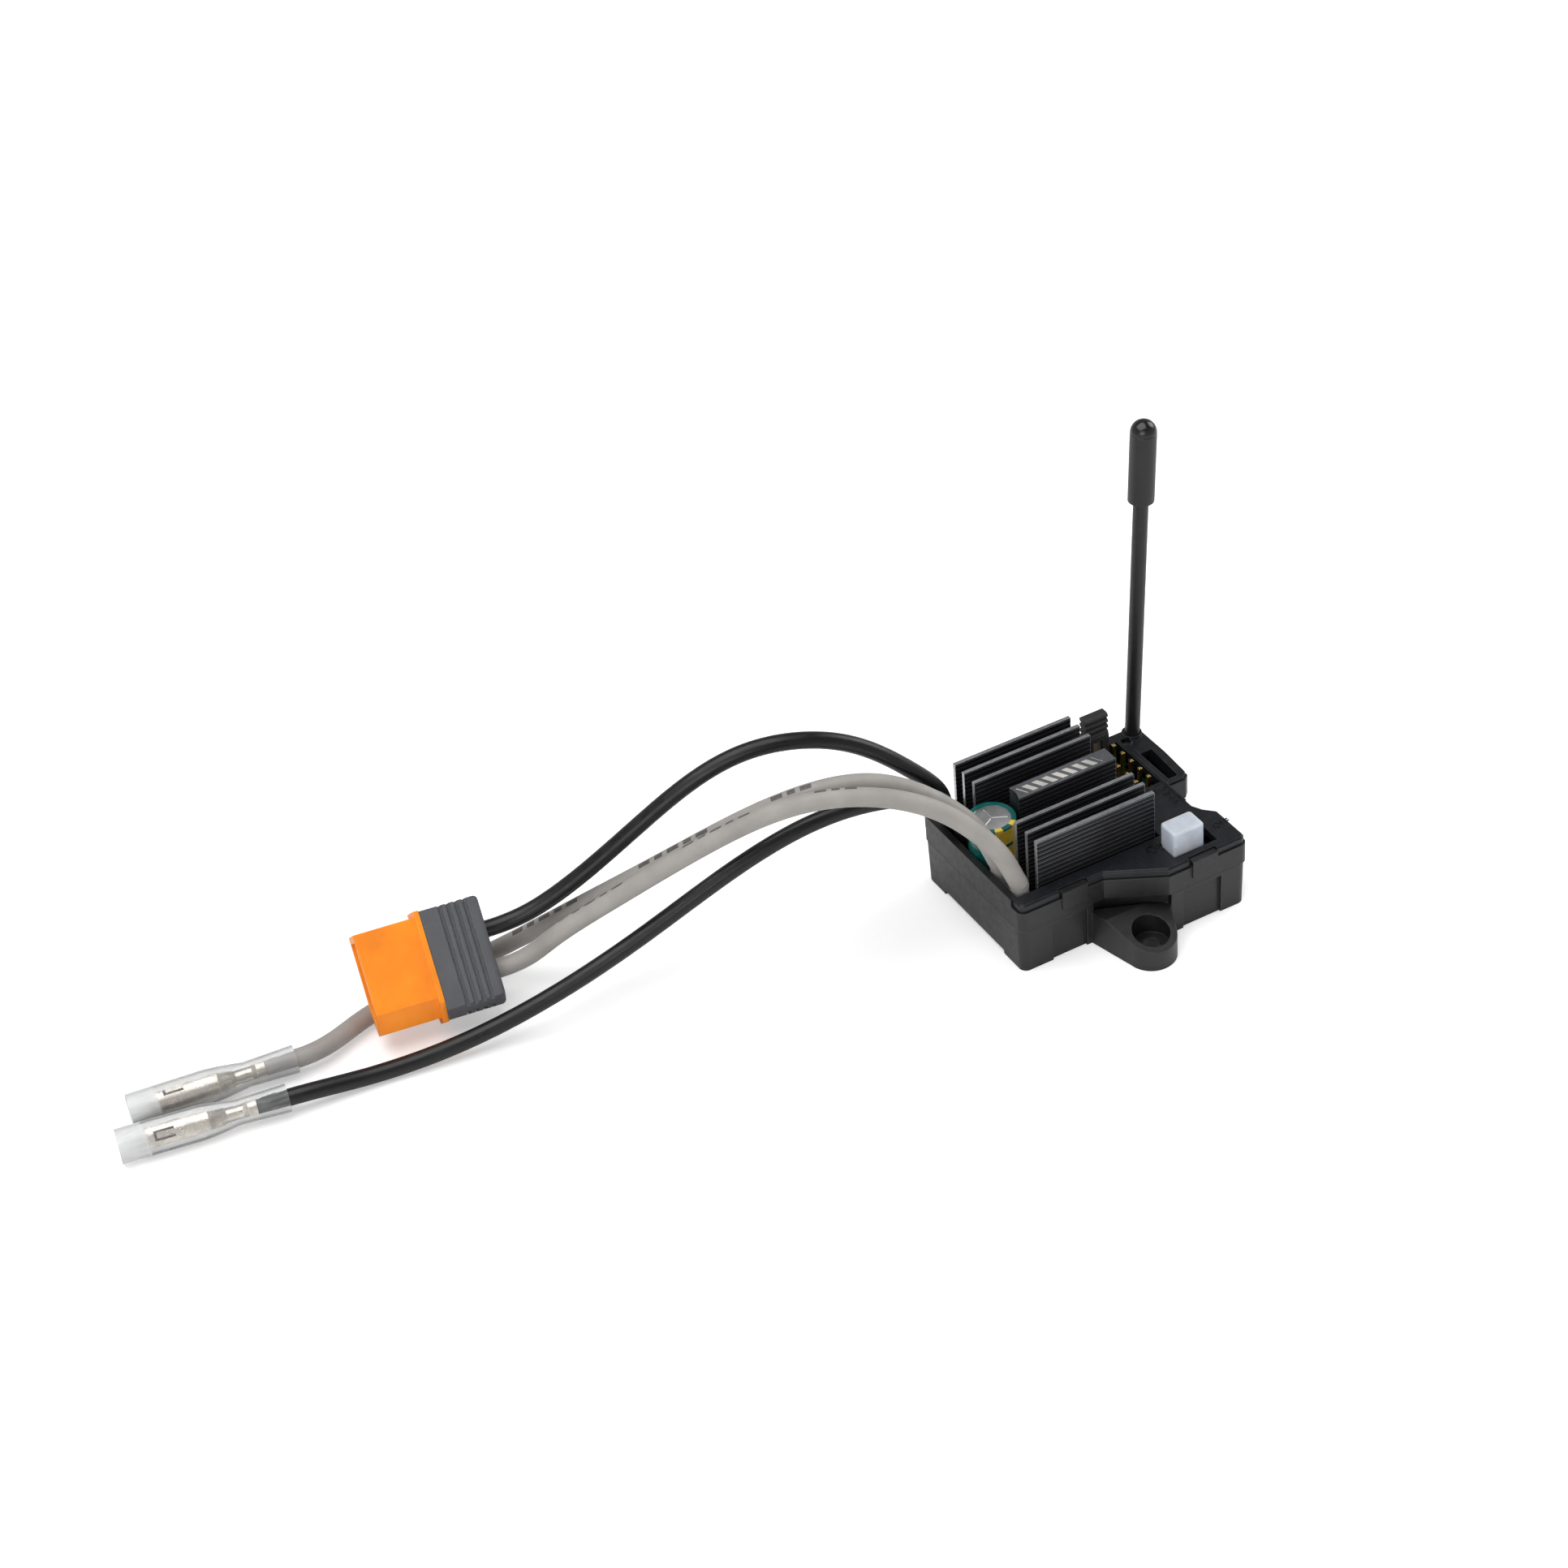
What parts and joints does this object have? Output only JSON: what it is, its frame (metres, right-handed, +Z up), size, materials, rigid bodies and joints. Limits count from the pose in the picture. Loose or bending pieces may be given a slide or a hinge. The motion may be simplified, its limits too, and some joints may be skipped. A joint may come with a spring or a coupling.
{
  "type": "electronic speed controller",
  "caption": "Brushed motor speed controller with receiver: black finned case with screw ears, power slide switch, aerial, servo header, battery plug and bullet motor leads.",
  "frame": {"origin": "centre of the near ear's screw hole at the mounting surface", "axes": "+X along the heat-sink fins away from the cables, +Y from the switch side to the aerial side, +Z up"},
  "size_m": [0.1825, 0.066, 0.0745],
  "materials": {
    "case": "moulded, fine spark-eroded grain",
    "heat_sink": "black anodised extrusion, bare bright edges on the fin tops",
    "board": "green solder mask over glass-epoxy laminate",
    "chip": "moulded epoxy package",
    "pad": "grey silicone gap pad",
    "tin": "tinned",
    "ferrite": "ferrite",
    "ceramic": "ceramic",
    "can": "drawn, scored vent",
    "sleeve": "heat-shrunk sleeve with a gold stripe",
    "black_plastic": "moulded nylon",
    "gold": "gold plated",
    "milky": "milky translucent",
    "black_tube": "extruded tube, satin",
    "rubber_cap": "satin with a glossy dome",
    "orange": "moulded nylon, satin",
    "grip": "fine-grained moulding",
    "nickel": "nickel plated brass, crimped",
    "clear": "clear flexible vinyl",
    "black_silicone": "glossy silicone insulation",
    "grey_silicone": "satin silicone insulation",
    "copper": "tinned fine-strand copper"
  },
  "bodies": {
    "root": {"lower_case": "case", "top_cover": "case", "heat_sink": "heat_sink", "main_board": "board", "power_mosfets": "chip", "thermal_pads": "pad", "motor_controller_chip": "chip", "receiver_module": "board", "receiver_shield": "tin", "bec_regulator": "chip", "bec_inductor": "ferrite", "ceramic_capacitors": "ceramic", "capacitor_can": "can", "capacitor_sleeve": "sleeve", "capacitor_leads": "tin", "header_base": "black_plastic", "header_pins": "gold", "switch_frame": "black_plastic", "switch_terminals": "tin", "bind_switch": "black_plastic", "antenna_tube": "black_tube", "antenna_wire": "black_tube", "antenna_tip": "rubber_cap", "battery_plug_housing": "orange", "battery_plug_pins": "gold", "battery_plug_grip": "grip", "motor_terminal_black": "nickel", "motor_sleeve_black": "clear", "motor_terminal_grey": "nickel", "motor_sleeve_grey": "clear", "battery_wire_black": "black_silicone", "battery_wire_black_core": "copper", "battery_wire_grey": "grey_silicone", "battery_wire_grey_core": "copper", "motor_wire_grey": "grey_silicone", "motor_wire_grey_core": "copper", "motor_wire_black": "black_silicone", "motor_wire_black_core": "copper", "wire_solder_joints": "tin"},
    "switch": {"switch_slider": "black_plastic", "switch_contact": "gold", "switch_knob": "milky"},
    "button": {"bind_button": "black_plastic"},
    "jumper": {"jumper_body": "black_plastic", "jumper_contact": "tin"}
  },
  "joints": [
    {"name": "power_switch_slide", "type": "slide", "parent": "root", "child": "switch", "axis": [1, 0, 0], "range_m": [0, 0.0022]},
    {"name": "bind_button_press", "type": "slide", "parent": "root", "child": "button", "axis": [0, 0, -1], "range_m": [0, 0.00035]},
    {"name": "jumper_lift", "type": "slide", "parent": "root", "child": "jumper", "axis": [0, 0, 1], "range_m": [0, 0.008]}
  ]
}
